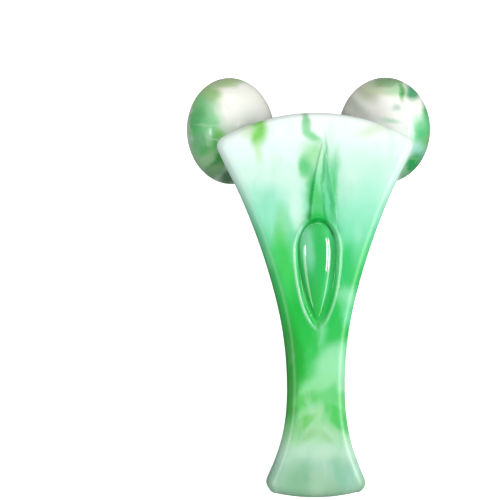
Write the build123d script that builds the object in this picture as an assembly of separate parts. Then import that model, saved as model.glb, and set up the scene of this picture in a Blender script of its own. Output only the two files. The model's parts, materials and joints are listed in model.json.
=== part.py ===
from build123d import *
import os
from math import cos, radians, sin, sqrt, tan

# A face roller: a fan-shaped hollow handle with two flattened rollers behind its head.
# Everything is drawn in the handle's own frame: Y runs from the foot to the head, Z points out of
# the front face, X to the right, and the shells part at Z = 0. At the end the whole roller is laid
# down face up on its two rollers and its heel, with the floor at Z = 0. Sizes are in millimetres.

# Outline of the handle
HEAD_TOP = 146.7            # Y of the middle of the head's top edge
HEAD_ARC_RADIUS = 72.6      # the convex top edge
FOOT_ARC_RADIUS = 67.4      # the slightly convex bottom edge
SIDE_POINTS = [             # right-hand side, from the foot's corner to the head's corner
    (20.2, 3.1),
    (12.9, 22.4),
    (10.8, 46.6),
    (12.5, 64.8),
    (16.7, 83.0),
    (22.7, 101.2),
    (29.3, 117.1),
    (38.4, 135.7),
]
FOOT_SIDE_DIRECTION = (-0.42, 0.91)
HEAD_SIDE_DIRECTION = (0.41, 0.91)
CORNER_RADIUS = 4.0

# Thickness of the handle
FRONT_CROWN = 8.0           # Z of the front at its highest, one arc from foot to head
FRONT_CROWN_Y = 74.0
FRONT_CROWN_RADIUS = 983.0
PROFILE_HALF_LENGTH = 78.0  # the side profile runs a little past the foot and the head
BACK_PROFILE = [(-4, -11.0), (7, -9.4), (22, -6.8), (46, -7.4), (84, -8.2), (120, -5.9), (152, -5.0)]
EDGE_RADIUS = 3.8           # rounding of the front and back edges
WALL = 2.0

# Rollers and their axles
ROLLER_RADIUS = 20.6        # at the equator
ROLLER_HALF_WIDTH = 16.0    # from the middle to a pole
ROLLER_CENTRE = (30.0, 140.0, -26.5)
SPLAY = 30.0                # the axles lean to the back by this angle
DROOP = 2.6                 # and to the foot by this one
AXLE_RADIUS = 2.0
BUSH_RADIUS = 3.5
COLLAR_RADIUS = 3.6
COLLAR_TIP_RADIUS = 3.2
WASHER_RADIUS = 3.4
CAP_RADIUS = 5.2
CHAMBER_RADIUS = 4.6        # round the screw's head, inside the roller
CHANNEL_RADIUS = 2.5        # round the axle, between the bushes
RUNNING_CLEARANCE = 0.05    # radial
FIXED_CLEARANCE = 0.01      # radial, where one piece is fast on another

# Stations along an axle, from the roller's centre outwards
YOKE_END = -29.5            # the axle's inner end, in the yoke
NECK_SEAT = -20.5           # where the collar bears on the neck
COLLAR_END = -16.5
THRUST_WASHER_END = -15.7
ROLLER_INNER_FLAT = -15.6
INNER_BUSH_END = -8.0
OUTER_BUSH_START = 1.0
OUTER_BUSH_END = 8.0
SCREW_TIP = 2.0
THREAD_START = 1.2
AXLE_END = 8.1
END_WASHER_END = 8.9
CAP_START = 12.6
PAST_ROLLER = 20.0

# The neck between the rollers, and the yoke in it
NECK_BOTTOM = -21.0         # Z of its rear face
NECK_LOWER_SIDE = 128.0     # Y of its side towards the foot
NECK_TOP_INSET = 0.5        # its top follows the head's top edge, this far in
NECK_EDGE_RADIUS = 2.0
NECK_HOLE_RADIUS = 2.4
COLLAR_SEAT_DEPTH = 0.4     # the collar's sunk seat in the neck
COLLAR_SEAT_RADIUS = 4.0
YOKE_GAP = 0.2              # between the yoke and the walls around it
YOKE_PLATE_BACK = -2.7      # Z of the plate's faces
YOKE_PLATE_FRONT = 1.0
YOKE_PLATE_SIZE = (50.0, 12.0)
YOKE_PLATE_Y = 133.5
YOKE_SCREW_X = 21.0

# The drop and the spire on the front
DROP_TOP = 105.9
DROP_MIDDLE = 95.0          # Y of its widest place
DROP_TIP = 67.5
DROP_HALF_WIDTH = 6.75
DROP_SHOULDER = 86.0        # Y of the first guide point that bends each flank
DROP_WAIST = (3.58, 74.5)   # the second guide point
DROP_DOME = 3.4             # its height over the seat
SEAT_MARGIN = 1.85          # the sunk bed's border beside the drop
SEAT_WAIST = (6.4, 70.0)    # its second guide point: it is blunter than the drop at its lower end
SEAT_TIP = 64.5
SEAT_DEPTH = 1.2
SEAT_WALL = 1.4             # under the bed
SPIRE_X = 2.4               # its middle lies a little to the right
SPIRE_FLANK = [             # right-hand side from its middle, from the apex down to the base
    (0.0, 135.0),
    (3.1, 121.5),
    (4.6, 109.5),
    (4.9, 100.0),
]
SPIRE_EDGE_HEIGHT = 1.1     # along its sides at the base, over the front surface
SPIRE_VALLEY_HEIGHT = 0.15  # along its middle at the base
SPIRE_APEX_HEIGHT = 0.35

# Screws
SHELL_SCREWS = [(17.0, 114.0, -3.0), (-17.0, 114.0, -3.0), (0.0, 57.0, -4.5), (0.0, 15.0, -4.5)]
SHELL_SCREW_TIP = 3.0       # Z of its point, in the front post
SCREW_RADIUS = 1.0
SCREW_HEAD_RADIUS = 2.0
SCREW_HEAD_HEIGHT = 1.4
SCREW_SOCKET_RADIUS = 0.9
SCREW_SOCKET_DEPTH = 0.8
THREAD_DEPTH_SPARE = 0.4
POST_RADIUS = 3.2
PLUG_RADIUS = 2.6
PLUG_SINK = 0.15            # the plugs lie this far under the surface

# Lying on a floor
TILT = 15.9                 # the handle's slope when the roller lies on its rollers and heel
LYING_MIDDLE = 80.93        # Y of the middle of the roller's whole length as it lies

SIDES = {"left": -1, "right": 1}
REACH = 60.0                # past everything across and through the handle, for cutting tools
BLOCK_SIZE = (240.0, 360.0) # wider and longer than the whole roller
CENTRED = (Align.CENTER, Align.CENTER, Align.MIN)


# ---------------------------------------------------------------- the handle's form

def arc_height(radius, x):
    """How far a circular arc has fallen at a distance x from its highest point."""
    return radius - sqrt(radius**2 - x**2)


def outline(inset=0.0):
    """The handle's front outline as a face, drawn smaller by an even inset."""
    top = HEAD_TOP - inset
    points = [(x - inset, y) for x, y in SIDE_POINTS]
    foot_x = points[0][0]
    head_x = points[-1][0]
    points[0] = (foot_x, inset + arc_height(FOOT_ARC_RADIUS - inset, foot_x))
    points[-1] = (head_x, top - arc_height(HEAD_ARC_RADIUS - inset, head_x))
    mirrored = [(-x, y) for x, y in points]
    directions = [FOOT_SIDE_DIRECTION, HEAD_SIDE_DIRECTION]
    right = Spline(*points, tangents=directions)
    left = Spline(*mirrored, tangents=[(-x, y) for x, y in directions])
    head = ThreePointArc(points[-1], (0, top), mirrored[-1])
    foot = ThreePointArc(points[0], (0, inset), mirrored[0])
    face = make_face([right, head, left, foot])
    return fillet(face.vertices(), max(CORNER_RADIUS - inset, 1.0))


def prism(face):
    """A face in the parting plane, extruded right through the handle."""
    return Pos(0, 0, -REACH) * extrude(face, 2 * REACH)


def front_level(y):
    """Z of the front surface."""
    return FRONT_CROWN - arc_height(FRONT_CROWN_RADIUS, y - FRONT_CROWN_Y)


def side_slab(inset=0.0):
    """The handle's thickness from its side profile, right across it."""
    stations = [FRONT_CROWN_Y + step * PROFILE_HALF_LENGTH for step in (-1, 0, 1)]
    front = [(y, front_level(y) - inset) for y in stations]
    back = [(y, z + inset) for y, z in BACK_PROFILE]
    front_arc = ThreePointArc(*front)
    head_end = Line(front[-1], back[-1])
    back_curve = Spline(*back)
    foot_end = Line(back[0], front[0])
    profile = make_face([front_arc, head_end, back_curve, foot_end])
    return Pos(-REACH, 0, 0) * extrude(Plane.YZ * profile, 2 * REACH)


def rim_edges(body):
    """The edges round the front and round the back, but none that join the two."""
    boxes = [(edge, edge.bounding_box()) for edge in body.edges()]
    return [edge for edge, box in boxes if box.min.Z > 0 or box.max.Z < 0]


def under_floor(inset=0.0):
    """A large block under the floor that the roller lies on, or under a level over it."""
    start = floor_normal() * (floor_distance() - inset)
    plane = Plane(origin=start, x_dir=(1, 0, 0), z_dir=floor_normal())
    return plane.location * Box(*BLOCK_SIZE, REACH, align=CENTRED)


def handle_body():
    """The closed outer form of the handle, cut flat at the heel where it rests."""
    body = prism(outline()) & side_slab()
    return fillet(rim_edges(body), EDGE_RADIUS) - under_floor()


def handle_cavity():
    """The hollow inside the handle, one wall in from its outside."""
    return prism(outline(WALL)) & side_slab(WALL) - under_floor(WALL)


def half_space(front):
    """A large block on one side of the parting plane."""
    align = (Align.CENTER, Align.CENTER, Align.MIN if front else Align.MAX)
    return Pos(0, HEAD_TOP / 2, 0) * Box(*BLOCK_SIZE, REACH, align=align)


def column(x, y, low, high, radius):
    """An upright cylinder between two heights."""
    return Pos(x, y, low) * Cylinder(radius, high - low, align=CENTRED)


# ---------------------------------------------------------------- rollers and axles

def axle_plane(side):
    """The frame of one axle: origin at the roller's centre, Z along the axle, outwards."""
    sign = SIDES[side]
    x, y, z = ROLLER_CENTRE
    level = cos(radians(DROOP))
    direction = (
        sign * cos(radians(SPLAY)) * level,
        -sin(radians(DROOP)),
        -sin(radians(SPLAY)) * level,
    )
    return Plane(origin=(sign * x, y, z), x_dir=(0, 0, 1), z_dir=direction)


def turned(side, start, end, radius, end_radius=None):
    """A cylinder or cone on one axle, between two stations."""
    length = end - start
    if end_radius is None:
        solid = Cylinder(radius, length, align=CENTRED)
    else:
        solid = Cone(radius, end_radius, length, align=CENTRED)
    return axle_plane(side).location * Pos(0, 0, start) * solid


def floor_normal():
    """The direction straight down when the roller lies on a floor, in the handle's frame."""
    return Vector(0, -sin(radians(TILT)), -cos(radians(TILT)))


def floor_distance():
    """How far the floor lies from the handle frame's origin: it touches both rollers."""
    lean = floor_normal().dot(axle_plane("right").z_dir)
    reach = sqrt(ROLLER_RADIUS**2 * (1 - lean**2) + ROLLER_HALF_WIDTH**2 * lean**2)
    return Vector(*ROLLER_CENTRE).dot(floor_normal()) + reach


def roller_form(side):
    """A flattened ball round one axle."""
    arc = EllipticalCenterArc((0, 0), ROLLER_RADIUS, ROLLER_HALF_WIDTH, -90, arc_size=180)
    axis = Line((0, ROLLER_HALF_WIDTH), (0, -ROLLER_HALF_WIDTH))
    profile = Plane.XZ * make_face([arc, axis])
    return axle_plane(side).location * revolve(profile, Axis.Z)


def ball(side):
    """The roller itself, with its bore, two bush pockets, the screw's chamber and the cap's pocket."""
    solid = roller_form(side)
    solid -= turned(side, -PAST_ROLLER, ROLLER_INNER_FLAT, ROLLER_RADIUS)
    solid -= turned(side, -PAST_ROLLER, INNER_BUSH_END, BUSH_RADIUS + FIXED_CLEARANCE)
    solid -= turned(side, -PAST_ROLLER, PAST_ROLLER, CHANNEL_RADIUS)
    solid -= turned(side, OUTER_BUSH_START, PAST_ROLLER, BUSH_RADIUS + FIXED_CLEARANCE)
    solid -= turned(side, OUTER_BUSH_END, PAST_ROLLER, CHAMBER_RADIUS)
    solid -= turned(side, CAP_START, PAST_ROLLER, CAP_RADIUS + FIXED_CLEARANCE)
    return solid


def ball_cap(side):
    """The plug in the roller's outer end, with a shallow dome that carries on the roller's curve."""
    rim_level = ROLLER_HALF_WIDTH * sqrt(1 - (CAP_RADIUS / ROLLER_RADIUS) ** 2)
    rise = ROLLER_HALF_WIDTH - rim_level
    dome_radius = (CAP_RADIUS**2 + rise**2) / (2 * rise)
    dome = axle_plane(side).location * Pos(0, 0, ROLLER_HALF_WIDTH - dome_radius) * Sphere(dome_radius)
    return turned(side, CAP_START, PAST_ROLLER, CAP_RADIUS) & dome


def ring(side, start, end, radius, bore, end_radius=None):
    """A bush, washer or collar: a turned piece with a bore."""
    return turned(side, start, end, radius, end_radius) - turned(side, start, end, bore)


def axle(side):
    """The steel pin, threaded at its outer end for the end screw."""
    pin = turned(side, YOKE_END, AXLE_END, AXLE_RADIUS)
    return pin - turned(side, THREAD_START, AXLE_END, SCREW_RADIUS + FIXED_CLEARANCE)


def screw(tip, bearing):
    """A socket-head screw along Z: its tip, and the height where its head bears."""
    shank = column(0, 0, tip, bearing, SCREW_RADIUS)
    head_end = bearing + SCREW_HEAD_HEIGHT
    head = column(0, 0, bearing, head_end, SCREW_HEAD_RADIUS)
    socket = extrude(RegularPolygon(SCREW_SOCKET_RADIUS, 6), SCREW_SOCKET_DEPTH)
    return shank + head - Pos(0, 0, head_end - SCREW_SOCKET_DEPTH) * socket


def end_screw(side):
    """The screw that holds the end washer on the axle."""
    return axle_plane(side).location * screw(SCREW_TIP, END_WASHER_END)


# ---------------------------------------------------------------- neck and yoke

def neck_block(inset=0.0, top=0.0):
    """The tapered block between the rollers: sides square to the axles, top along the head's edge."""
    station = NECK_SEAT + COLLAR_SEAT_DEPTH
    face_x = ROLLER_CENTRE[0] + station * cos(radians(SPLAY))
    face_z = ROLLER_CENTRE[2] - station * sin(radians(SPLAY))

    def half_width(z):
        return face_x + (z - face_z) * tan(radians(SPLAY)) - inset / cos(radians(SPLAY))

    low = NECK_BOTTOM + inset
    corners = [(half_width(low), low), (half_width(top), top)]
    mirrored = [(-x, z) for x, z in reversed(corners)]
    section = make_face(Polyline(*corners, *mirrored, close=True))
    length = HEAD_TOP - NECK_LOWER_SIDE - inset
    block = Pos(0, HEAD_TOP, 0) * extrude(Plane.XZ * section, length)
    return block & prism(outline(NECK_TOP_INSET + inset))


def neck():
    """The neck's outer form, with its outside edges rounded."""
    block = neck_block()
    edges = [edge for edge in block.edges() if edge.center().Z < -COLLAR_SEAT_RADIUS]
    return fillet(edges, NECK_EDGE_RADIUS)


def axle_yoke():
    """The block in the neck that holds both axles, with a plate that is screwed to the front shell."""
    block = neck_block(WALL + YOKE_GAP, YOKE_PLATE_BACK)
    width, depth = YOKE_PLATE_SIZE
    thickness = YOKE_PLATE_FRONT - YOKE_PLATE_BACK
    yoke = block + Pos(0, YOKE_PLATE_Y, YOKE_PLATE_BACK) * Box(width, depth, thickness, align=CENTRED)
    for side, sign in SIDES.items():
        yoke -= turned(side, YOKE_END, 0, AXLE_RADIUS + FIXED_CLEARANCE)
        x = sign * YOKE_SCREW_X
        head_room = YOKE_PLATE_BACK + SCREW_HEAD_HEIGHT
        yoke -= column(x, YOKE_PLATE_Y, YOKE_PLATE_BACK, head_room, SCREW_HEAD_RADIUS + YOKE_GAP)
        yoke -= column(x, YOKE_PLATE_Y, YOKE_PLATE_BACK, YOKE_PLATE_FRONT, SCREW_RADIUS + YOKE_GAP)
    return yoke


# ---------------------------------------------------------------- shells

def teardrop(margin, waist, tip):
    """Half of a teardrop outline as a face beside the Y axis: round above, narrow below."""
    width = DROP_HALF_WIDTH + margin
    top = DROP_TOP + margin / 2
    round_end = EllipticalCenterArc((0, DROP_MIDDLE), width, top - DROP_MIDDLE, 0, arc_size=90)
    flank = Bezier((width, DROP_MIDDLE), (width, DROP_SHOULDER), waist, (0, tip))
    return make_face([round_end, Line((0, top), (0, tip)), flank])


def seat_prism(border=0.0):
    """The outline of the drop's bed, with an even border round it, right through the handle."""
    waist_x, waist_y = SEAT_WAIST
    half = teardrop(SEAT_MARGIN + border, (waist_x + border, waist_y - border), SEAT_TIP - border)
    return prism(half + mirror(half, about=Plane.YZ))


def drop_inlay():
    """The teardrop cabochon, domed in front and flat on its seat."""
    round_drop = revolve(teardrop(0, DROP_WAIST, DROP_TIP), Axis.Y)
    flat_drop = scale(round_drop, by=(1, 1, DROP_DOME / DROP_HALF_WIDTH))
    seat_level = front_level(DROP_MIDDLE) - SEAT_DEPTH
    return Pos(0, 0, seat_level) * flat_drop - side_slab(SEAT_DEPTH)


def spire_facet(sign):
    """One half of the spire: its top is flat and falls from the flank to the middle."""
    apex_y = SPIRE_FLANK[0][1]
    base_x, base_y = SPIRE_FLANK[-1]
    apex = Vector(0, apex_y, front_level(apex_y) + SPIRE_APEX_HEIGHT)
    valley = Vector(0, base_y, front_level(base_y) + SPIRE_VALLEY_HEIGHT)
    edge = Vector(sign * base_x, base_y, front_level(base_y) + SPIRE_EDGE_HEIGHT)
    normal = (valley - apex).cross(edge - apex) * sign
    above = Plane(origin=apex, z_dir=normal).location * Box(REACH, 2 * REACH, REACH, align=CENTRED)
    flank = Spline(*[(sign * x, y) for x, y in SPIRE_FLANK])
    base = Line((sign * base_x, base_y), (0, base_y))
    half = make_face([flank, base, Line((0, base_y), (0, apex_y))])
    facet = prism(half) & half_space(front=True)
    return Pos(SPIRE_X, 0, 0) * (facet - side_slab(WALL / 2) - above)


def spire():
    """The pointed relief above the drop: two facets that meet in a valley along its middle."""
    return spire_facet(-1) + spire_facet(1)


def front_post(x, y, low):
    """A post inside the front shell for a screw."""
    return column(x, y, low, REACH, POST_RADIUS) & side_slab(WALL / 2)


def thread_hole(x, y, low, tip):
    """The blind hole for a screw in a front post."""
    return column(x, y, low, tip + THREAD_DEPTH_SPARE, SCREW_RADIUS + FIXED_CLEARANCE)


def front_shell(body, cavity):
    """The front half of the handle."""
    shell = (body - cavity) & half_space(front=True)
    pad = seat_prism(SEAT_WALL) & side_slab(WALL / 2)
    pad -= side_slab(SEAT_DEPTH + SEAT_WALL)
    shell += pad & half_space(front=True)
    for x, y, _ in SHELL_SCREWS:
        shell += front_post(x, y, 0)
        shell -= thread_hole(x, y, 0, SHELL_SCREW_TIP)
    for sign in SIDES.values():
        x = sign * YOKE_SCREW_X
        shell += front_post(x, YOKE_PLATE_Y, YOKE_PLATE_FRONT)
        shell -= thread_hole(x, YOKE_PLATE_Y, YOKE_PLATE_FRONT, SHELL_SCREW_TIP)
    shell += spire()
    return shell - (seat_prism() - side_slab(SEAT_DEPTH))


def back_shell(body, cavity):
    """The rear half of the handle, with the neck."""
    shell = body + neck() - cavity - neck_block(WALL)
    shell = shell & half_space(front=False)
    for x, y, seat in SHELL_SCREWS:
        shell += column(x, y, -REACH, 0, POST_RADIUS) & side_slab(WALL / 2)
        shell -= column(x, y, -REACH, 0, SCREW_RADIUS + YOKE_GAP)
        shell -= column(x, y, -REACH, seat, PLUG_RADIUS + FIXED_CLEARANCE)
    for side in SIDES:
        shell -= turned(side, YOKE_END, 0, NECK_HOLE_RADIUS)
        shell -= turned(side, NECK_SEAT, COLLAR_END, COLLAR_SEAT_RADIUS)
    return shell


def shell_screws():
    """The four screws that close the shells, put in from the back."""
    screws = [
        Pos(x, y, 0) * Rot(180, 0, 0) * screw(-SHELL_SCREW_TIP, -seat) for x, y, seat in SHELL_SCREWS
    ]
    return Compound(screws)


def yoke_screws():
    """The two screws that hold the yoke's plate to the front shell's posts."""
    bearing = -(YOKE_PLATE_BACK + SCREW_HEAD_HEIGHT)
    places = [Pos(sign * YOKE_SCREW_X, YOKE_PLATE_Y, 0) * Rot(180, 0, 0) for sign in SIDES.values()]
    return Compound([place * screw(-SHELL_SCREW_TIP, bearing) for place in places])


def screw_plugs():
    """The four plugs over the shell screws, just under the back surface."""
    plugs = []
    for x, y, seat in SHELL_SCREWS:
        plug = column(x, y, -REACH, seat - SCREW_HEAD_HEIGHT, PLUG_RADIUS)
        plugs.append(plug & side_slab(PLUG_SINK))
    return Compound(plugs)


# ---------------------------------------------------------------- the whole roller

def build_nodes():
    """Every piece by name, in the handle's frame."""
    body = handle_body()
    cavity = handle_cavity()
    nodes = {
        "front_shell": front_shell(body, cavity),
        "back_shell": back_shell(body, cavity),
        "drop_inlay": drop_inlay(),
        "axle_yoke": axle_yoke(),
        "yoke_screws": yoke_screws(),
        "shell_screws": shell_screws(),
        "screw_plugs": screw_plugs(),
    }
    fast = AXLE_RADIUS + FIXED_CLEARANCE
    free = AXLE_RADIUS + RUNNING_CLEARANCE
    screw_bore = SCREW_RADIUS + FIXED_CLEARANCE
    for side in SIDES:
        nodes[f"{side}_axle"] = axle(side)
        nodes[f"{side}_neck_ring"] = ring(
            side, NECK_SEAT, COLLAR_END, COLLAR_RADIUS, fast, COLLAR_TIP_RADIUS
        )
        nodes[f"{side}_thrust_washer"] = ring(side, COLLAR_END, THRUST_WASHER_END, WASHER_RADIUS, fast)
        nodes[f"{side}_inner_bush"] = ring(side, ROLLER_INNER_FLAT, INNER_BUSH_END, BUSH_RADIUS, free)
        nodes[f"{side}_outer_bush"] = ring(side, OUTER_BUSH_START, OUTER_BUSH_END, BUSH_RADIUS, free)
        nodes[f"{side}_ball"] = ball(side)
        nodes[f"{side}_ball_cap"] = ball_cap(side)
        nodes[f"{side}_end_washer"] = ring(side, AXLE_END, END_WASHER_END, WASHER_RADIUS, screw_bore)
        nodes[f"{side}_end_screw"] = end_screw(side)
    return nodes


def main():
    """Lay the whole roller down on the floor and write every piece."""
    lying = Pos(0, -LYING_MIDDLE, floor_distance()) * Rot(TILT, 0, 0)
    os.makedirs("parts", exist_ok=True)
    for name, solid in build_nodes().items():
        export_step(lying * solid, f"parts/{name}.step")


main()
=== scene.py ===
import json
import math

import bmesh
import bpy
import numpy as np
from mathutils import Matrix, Vector


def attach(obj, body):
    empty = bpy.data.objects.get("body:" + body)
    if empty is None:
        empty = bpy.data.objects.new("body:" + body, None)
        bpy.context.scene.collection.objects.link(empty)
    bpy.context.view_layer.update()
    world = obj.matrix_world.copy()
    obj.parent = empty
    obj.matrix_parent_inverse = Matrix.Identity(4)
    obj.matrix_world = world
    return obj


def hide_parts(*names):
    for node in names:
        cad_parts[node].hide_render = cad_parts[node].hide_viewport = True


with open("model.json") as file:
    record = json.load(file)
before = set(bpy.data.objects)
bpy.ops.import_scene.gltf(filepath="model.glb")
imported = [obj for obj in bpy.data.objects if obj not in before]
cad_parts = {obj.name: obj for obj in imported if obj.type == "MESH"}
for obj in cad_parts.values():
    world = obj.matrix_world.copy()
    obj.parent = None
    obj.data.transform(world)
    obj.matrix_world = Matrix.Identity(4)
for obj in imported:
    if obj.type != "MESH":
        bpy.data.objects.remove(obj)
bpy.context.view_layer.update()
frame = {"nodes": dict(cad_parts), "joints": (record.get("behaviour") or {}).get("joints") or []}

# The roller lies face up on its two rollers and its heel. Its pieces are drawn in the handle's own
# frame, in millimetres, as in the CAD: Y from foot to head, Z out of the front, shells parting at
# Z = 0. row() takes a point from there to the shared frame.
MM = 0.001
TILT = math.radians(15.9)
ROLLER_CENTRE = (30.0, 140.0, -26.5)       # of the right-hand roller

HEAD_TOP = 146.7        # Y of the middle of the head's convex top edge
HEAD_ARC_RADIUS = 72.6
FOOT_ARC_RADIUS = 67.4
SIDE_POINTS = [         # right-hand side, from the foot's corner to the head's corner
    (20.2, 3.13), (12.9, 22.4), (10.8, 46.6), (12.5, 64.8),
    (16.7, 83.0), (22.7, 101.2), (29.3, 117.1), (38.4, 135.69),
]
FOOT_SIDE_DIRECTION = (-0.42, 0.91)
HEAD_SIDE_DIRECTION = (0.41, 0.91)
CORNER_RADIUS = 4.0
EDGE_RADIUS = 3.8       # of the front's rim
WALL = 2.0
WALL_LEAN = 1.09        # the wall across a row, where the sides slope, over the wall square to them
FRONT_CROWN = 8.0       # Z of the front at its highest, one arc from foot to head
FRONT_CROWN_Y = 74.0
FRONT_CROWN_RADIUS = 983.0

DROP_TOP = 105.9
DROP_MIDDLE = 95.0
DROP_TIP = 67.5
DROP_HALF_WIDTH = 6.75
DROP_DOME = 3.4
DROP_SHOULDER = 86.0    # Y of the first guide point that bends each flank
DROP_WAIST = (3.58, 74.5)
SEAT_MARGIN = 1.6       # the sunk bed's border beside the drop
SEAT_WAIST = (6.4, 70.0)
SEAT_TIP = 64.5
SEAT_DEPTH = 1.2
SEAT_WALL_RUN = (-0.2, 1.35)        # the seat's side slopes down between these depths inside it
LIP_HEIGHT = 0.42
LIP_DEPTH = -0.45       # the lip's crest lies outside the seat's outline
LIP_RUN = 0.45
LIP_GAP_X = 0.5         # the lip stops on both sides of the seat's lower end
LIP_GAP_RUN = 2.8
LIP_GAP_Y = (71.0, 67.5)
CREST_HIGHLIGHT_DEPTH = -0.5      # a painted highlight: the pale line along the lip's crest
CREST_HIGHLIGHT_RUN = 0.5
CREST_HIGHLIGHT_FADE_Y = (105.0, 96.0)
CREST_HIGHLIGHT_RIGHT_SHARE = 0.6
LIP_HIGHLIGHT_ATTRIBUTE = "seat_lip"
SPIRE_X = 2.4           # the spire's middle lies a little to the right
SPIRE_FLANK = [(0.0, 135.0), (3.1, 121.5), (4.6, 109.5), (4.9, 100.0)]
SPIRE_EDGE_HEIGHT = 1.1
SPIRE_VALLEY_HEIGHT = 0.15
SPIRE_APEX_HEIGHT = 0.35
SPIRE_WALL_RUN = 0.3
SPIRE_END_RUN = (-0.1, 0.7)         # the spire runs out between these depths inside the seat

# The front's grid is fine over the relief, between these two heights and this far from the middle
RELIEF_Y = (62.0, 137.0)
RELIEF_HALF_WIDTH = 9.6
RELIEF_SHARE = 0.55     # of a row's half width, where the grip is narrower than that
INNER_ROWS = 70
INNER_COLUMNS = 21


# ---------------------------------------------------------------- places

def joint(name):
    """A joint's point in millimetres and its axis."""
    found = next(j for j in frame["joints"] if j["name"] == name)
    return np.array(found["pos_m"]) / MM, np.array(found["axis"])


def tilt_matrix():
    """Turns the handle's frame to the slope at which the roller lies."""
    c, s = math.cos(TILT), math.sin(TILT)
    return np.array([[1, 0, 0], [0, c, -s], [0, s, c]])


ROLLERS_MIDDLE = (joint("left_roller_spin")[0] + joint("right_roller_spin")[0]) / 2
LYING_SHIFT = ROLLERS_MIDDLE - tilt_matrix() @ np.array([0, ROLLER_CENTRE[1], ROLLER_CENTRE[2]])


def row(points):
    """Handle-frame millimetres to shared-frame metres."""
    return (np.asarray(points, float) @ tilt_matrix().T + LYING_SHIFT) * MM


def unrow(points):
    """Shared-frame metres back to handle-frame millimetres."""
    return (np.asarray(points, float) / MM - LYING_SHIFT) @ tilt_matrix()


# ---------------------------------------------------------------- outline and surfaces

def arc_fall(radius, x):
    """How far a circular arc has fallen at a distance x from its highest point."""
    return radius - np.sqrt(np.maximum(radius**2 - np.asarray(x, float) ** 2, 0))


def smooth_step(low, high, value):
    """0 below low, 1 above high, smooth between."""
    t = np.clip((np.asarray(value, float) - low) / (high - low), 0, 1)
    return t * t * (3 - 2 * t)


def swell(value, centre, run):
    """1 at the centre, falling away smoothly on both sides."""
    return np.exp(-(((value - centre) / run) ** 2))


def clamped_spline(points, start_direction, end_direction, count):
    """Points along a smooth cubic curve through the given ones, with set end directions."""
    p = np.array(points, float)
    lengths = np.linalg.norm(np.diff(p, axis=0), axis=1)
    t = np.concatenate([[0], np.cumsum(lengths)])
    n = len(p)
    system = np.zeros((n, n))
    right = np.zeros((n, 2))
    system[0, 0] = system[-1, -1] = 1
    right[0] = np.array(start_direction) / np.linalg.norm(start_direction)
    right[-1] = np.array(end_direction) / np.linalg.norm(end_direction)
    for i in range(1, n - 1):
        before, after = lengths[i - 1], lengths[i]
        system[i, i - 1 : i + 2] = after, 2 * (before + after), before
        slopes = (p[i] - p[i - 1]) / before * after + (p[i + 1] - p[i]) / after * before
        right[i] = 3 * slopes
    tangents = np.linalg.solve(system, right)
    out = []
    for value in np.linspace(0, t[-1], count):
        i = min(int(np.searchsorted(t, value, side="right")) - 1, n - 2)
        h = lengths[i]
        s = (value - t[i]) / h
        out.append(
            (2 * s**3 - 3 * s**2 + 1) * p[i] + (s**3 - 2 * s**2 + s) * h * tangents[i]
            + (3 * s**2 - 2 * s**3) * p[i + 1] + (s**3 - s**2) * h * tangents[i + 1]
        )
    return np.array(out)


def rounded_corner(before, corner, after, radius, count=14):
    """The points of an arc that rounds a corner between two directions."""
    a = (before - corner) / np.linalg.norm(before - corner)
    b = (after - corner) / np.linalg.norm(after - corner)
    half = math.acos(float(a @ b)) / 2
    centre = corner + (a + b) / np.linalg.norm(a + b) * radius / math.sin(half)
    start = corner + a * radius / math.tan(half) - centre
    end = corner + b * radius / math.tan(half) - centre
    weights = np.linspace(0, 1, count)
    turn = math.pi - 2 * half
    return np.array([
        centre + (math.sin((1 - w) * turn) * start + math.sin(w * turn) * end) / math.sin(turn)
        for w in weights
    ])


def half_outline():
    """The right-hand half of the handle's outline, from the foot's middle to the head's middle.

    Each corner is rounded between points a little way along the two edges that meet in it.
    """
    side = clamped_spline(SIDE_POINTS, FOOT_SIDE_DIRECTION, HEAD_SIDE_DIRECTION, 400)
    foot_x = np.linspace(0, side[0][0], 60)
    foot = np.stack([foot_x, arc_fall(FOOT_ARC_RADIUS, foot_x)], 1)
    head_x = np.linspace(side[-1][0], 0, 90)
    head = np.stack([head_x, HEAD_TOP - arc_fall(HEAD_ARC_RADIUS, head_x)], 1)
    lower = rounded_corner(foot[-4], side[0], side[12], CORNER_RADIUS)
    upper = rounded_corner(side[-12], side[-1], head[4], CORNER_RADIUS)
    foot = foot[foot[:, 0] < lower[0][0]]
    head = head[head[:, 0] < upper[-1][0]]
    side = side[(side[:, 1] > lower[-1][1]) & (side[:, 1] < upper[0][1])]
    return np.concatenate([foot, lower, side, upper, head])


HALF_OUTLINE = half_outline()
OUTLINE = np.concatenate([HALF_OUTLINE, HALF_OUTLINE[-2:0:-1] * [-1, 1]])


def distance_to(polygon, points):
    """The distance from each point to a closed polygon's nearest side."""
    a = polygon
    b = np.roll(polygon, -1, axis=0)
    best = np.full(len(points), 1e9)
    for start, end in zip(a, b):
        side = end - start
        t = np.clip((points - start) @ side / max(side @ side, 1e-12), 0, 1)
        best = np.minimum(best, np.linalg.norm(points - start - t[:, None] * side, axis=1))
    return best


def front_level(y):
    """Z of the front surface away from its edges."""
    return FRONT_CROWN - arc_fall(FRONT_CROWN_RADIUS, np.asarray(y, float) - FRONT_CROWN_Y)


def edge_fall(distance, radius=EDGE_RADIUS):
    """How far the rounded rim has fallen at a distance in from the outline."""
    inner = np.clip(radius - distance, 0, radius)
    return radius - np.sqrt(radius**2 - inner**2)


# ---------------------------------------------------------------- meshes

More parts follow.
